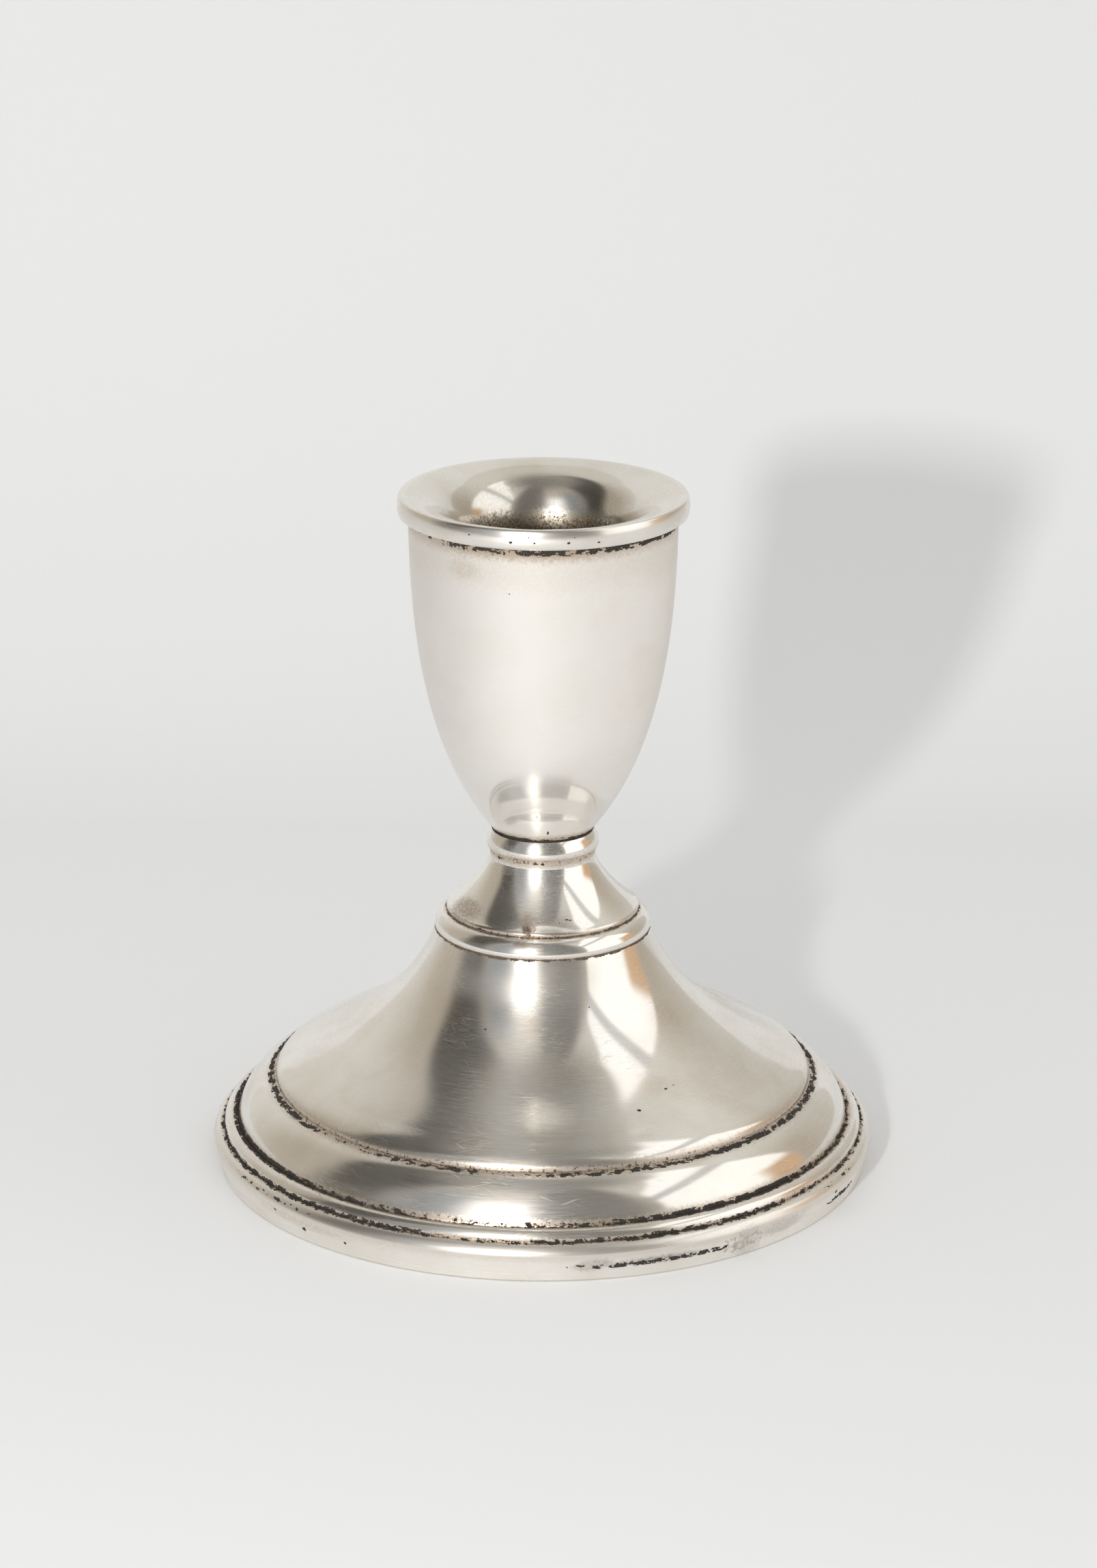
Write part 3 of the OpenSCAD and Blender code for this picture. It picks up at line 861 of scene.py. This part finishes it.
def build():
    groove_a, groove_b = (FOOT_R - 8.9, 12.6), (FOOT_R - 3.55, 6.9)
    foot_silver = silver(
        "silver_foot", clear=0.075, satin=0.5, share=0.32, stretch=0.75, swirl=0.0018, lines=0.0003,
        streaks=0.9, film=0.4,
        rubs=[
            ((-27, 17.2, 31.0), (6.0, 2.8), 1.4, 0.45, 0.02),
            ((3, 16.8, 31.8), (7.0, 4.0), 1.7, 0.22, 0.0),
        ],
        stains=[(groove_a, 1.7, EVEN), (groove_b, 1.5, [(-180, 0.8), (180, 0.8)]), (BEAD_END, 1.0, EVEN)],
        spots_and_shade=[
            ((110, 26.7, 20.8), (1.8, 3.6), 0.0, FILM, 0.6),
            ((-12, 15.9, 34.0), (0.7, 1.6), 0.0, STAIN, 0.8),
            ((33, 28.6, 19.6), (2.2, 2.2), 0.4, STAIN, 0.35),
            ((-62.5, 39.3, 12.4), (1.5, 0.7), 0.0, BROWN, 0.6),
        ],
        pits=[
            ((-23, 20.6, 26.1), (0.25, 0.3)), ((25.2, 31.7, 17.8), (0.4, 0.45)),
            ((36, 29.4, 19.1), (0.35, 0.3)), ((39, 29.2, 19.2), (0.2, 0.2)),
            ((20.8, 18.5, 28.8), (0.12, 0.2)),
        ],
    )
    band_silver = silver(
        "silver_band", clear=0.16, satin=0.5, share=0.55, stretch=0.6, swirl=0.002, lines=0.0015,
        streaks=0.4,
        stains=[(BEAD_END, 0.9, EVEN), (LIP_END, 1.3, FAINT)],
        spots_and_shade=[
            ((37, 47.2, 1.9), (2.4, 2.4), 0.0, (0.55, 0.54, 0.52, 1), 0.5),
            ((20, 47.2, 2.2), (6.5, 0.45), 0.0, (0.34, 0.30, 0.26, 1), 0.8),
            ((8.5, 47.3, 2.4), (2.5, 0.7), 0.3, (0.45, 0.41, 0.37, 1), 0.7),
            ((45, 47.3, 2.5), (4.5, 0.8), 0.0, (0.45, 0.41, 0.37, 1), 0.6),
            ((-46, 47.4, 2.7), (9, 0.5), 0.0, STAIN, 0.4),
        ],
        pits=[
            ((-44.5, 47.3, 2.0), (0.5, 0.3)), ((-35.2, 47.3, 2.05), (0.3, 0.2)),
            ((-52, 47.5, 3.0), (0.25, 0.2)), ((61, 47.5, 3.2), (0.5, 0.25)),
        ],
    )
    neck_silver = silver(
        "silver_neck", clear=0.075, satin=0.45, share=0.26, stretch=0.6, swirl=0.0012, lines=0.0002,
        streaks=1.0,
        rubs=[((-2, 9.2, 43.2), (3.0, 4.0), 1.7, 0.25, 0.0), ((-30, 9.8, 42), (3.0, 3.0), 1.7, 0.12, 0.0)],
        stains=[
            ((13.8, BELL_Z + 0.1), 0.7, EVEN), ((CONE_TOP_R, CONE_TOP), 0.7, EVEN),
            ((COLLAR_R, COLLAR_Z), 1.3, EVEN),
        ],
        spots_and_shade=[
            ((-63, 12.5, 39.3), (3.4, 2.6), 0.0, (0.36, 0.28, 0.22, 1), 0.75),
            ((-9, 12.6, 39.2), (1.0, 2.6), -0.5, (0.50, 0.38, 0.27, 1), 0.8),
            ((-10, 13.1, 38.6), (0.6, 1.5), -0.5, BROWN, 0.9),
            ((-12, 15.0, 36.9), (1.0, 1.4), 0.0, (0.40, 0.30, 0.23, 1), 0.8),
        ],
        pits=[
            ((16.5, 12.0, 39.8), (0.45, 0.18)), ((18.5, 12.1, 39.7), (0.3, 0.2)),
            ((-55, 7.6, 46.6), (0.35, 0.25)), ((-8, 7.6, 46.7), (0.5, 0.16)), ((0, 7.6, 46.7), (0.3, 0.2)),
            ((11, 12.3, 39.5), (0.12, 0.15)), ((-40, 13.9, 38.2), (0.35, 0.2)),
            ((44, 13.9, 38.0), (0.5, 0.25)),
        ],
    )
    cup_silver = silver(
        "silver_cup", clear=0.38, satin=0.84, share=0.945, stretch=0.2, swirl=0.0008, lines=0.0002,
        streaks=0.05, base=(0.89, 0.873, 0.848, 1), film=0.12,
        rubs=[((0, 12.0, 54), (ALL_ROUND, 7.2), 0.7, -0.5, -0.31)],
        spots_and_shade=[
            # A band of the film colour darkens the cup all round just under the rim.
            ((0, CUP_R, RIM_Z - 2), (ALL_ROUND, 4), 0.0, FILM, 0.2),
            ((-35, 18.6, 92), (2.5, 1.4), 0.0, FILM, 0.4),
        ],
        stains=[((CUP_R, RIM_Z - 0.3), 2.1, RIM_STAIN), ((CUP_FOOT_R, CUP_Z), 1.6, EVEN)],
        pits=[((-14.3, 18.8, 89.5), (0.14, 0.14)), ((5, 8.0, 51.2), (0.15, 0.12))],
    )
    rim_silver = silver(
        "silver_rim", clear=0.17, satin=0.42, share=0.45, stretch=0.6, swirl=0.0015, lines=0.002,
        streaks=0.4, base=(0.90, 0.87, 0.82, 1), film=0.4,
        pits=[
            ((-29.5, 20.5, 97.8), (0.22, 0.15)), ((-12.5, 20.5, 97.3), (0.3, 0.22)),
            ((-5.5, 20.4, 98.0), (0.15, 0.15)), ((-3.3, 20.5, 97.3), (0.19, 0.19)),
            ((9.7, 20.5, 97.3), (0.3, 0.19)), ((12, 20.4, 97.9), (0.15, 0.11)),
            ((21.5, 20.5, 97.1), (0.34, 0.15)),
        ],
    )
    socket_silver = silver(
        "silver_socket", clear=0.095, satin=0.46, share=0.22, stretch=0.7, swirl=0.001, lines=0.0002,
        streaks=0.5, base=(0.85, 0.82, 0.755, 1), film=0.5,
        stains=[((SOCKET_R, SOCKET_TOP - 3), 6.0, EVEN)],
        # Painted shade: a near-black tint all round the flare and a brown one in the throat darken the
        # mouth; the brown is partly tarnish.
        spots_and_shade=[
            ((180, 12.9, TOP_Z - 4.6), (ALL_ROUND, 4.0), 0.0, (0.05, 0.045, 0.035, 1), 0.16),
            ((180, SOCKET_R, TOP_Z - 8.5), (ALL_ROUND, 3.4), 0.0, (0.20, 0.15, 0.09, 1), 1.0),
        ],
        inward=True,
    )
    foot(foot_silver)
    foot_band(band_silver)
    reed(neck_silver)
    bell(neck_silver)
    collar(neck_silver)
    cup(cup_silver)
    rim(rim_silver)
    socket(socket_silver)

    black = plain("crust_black", (0.012, 0.010, 0.008, 1), (0.05, 0.04, 0.03, 1), 0.75, scale=5, bump=0.6)
    brown = plain("crust_brown", (0.06, 0.038, 0.026, 1), (0.16, 0.11, 0.08, 1), 0.7, scale=4, bump=0.5)
    solder = plain(
        "solder", (0.52, 0.49, 0.44, 1), (0.80, 0.76, 0.70, 1), 0.5, metallic=1, scale=1.6, detail=5, bump=1,
    )
    foot_crusts(black, brown, solder)
    cup_crusts(black)

    steel = plain("steel", (0.30, 0.29, 0.28, 1), (0.42, 0.41, 0.40, 1), 0.42, metallic=1, lines=True)
    brass = plain("brass", (0.62, 0.44, 0.19, 1), (0.72, 0.55, 0.28, 1), 0.35, metallic=1, lines=True)
    cement = plain("cement", (0.30, 0.25, 0.19, 1), (0.42, 0.36, 0.29, 1), 0.9, scale=0.8, detail=8)
    card = plain("card", (0.38, 0.30, 0.20, 1), (0.46, 0.37, 0.26, 1), 0.85, scale=1.5, detail=6)
    felt = plain("felt", (0.018, 0.055, 0.028, 1), (0.035, 0.09, 0.05, 1), 0.95, scale=3, detail=8, bump=0.8)
    leather = plain("leather", (0.02, 0.015, 0.012, 1), (0.05, 0.035, 0.028, 1), 0.7, scale=2.5, detail=6)
    stud(steel)
    for node, material in {
        "neck_bush": brass, "core_rod": steel, "rod_washer": steel, "rod_nut": steel,
        "weight_fill": cement, "base_disc": card, "felt_pad": felt, "seat_washer": leather,
        "cup_fill": cement, "stud_washer": steel, "stud_nut": steel,
    }.items():
        paint(node, material)


camera()
studio()
backdrop()
key_light()
build()
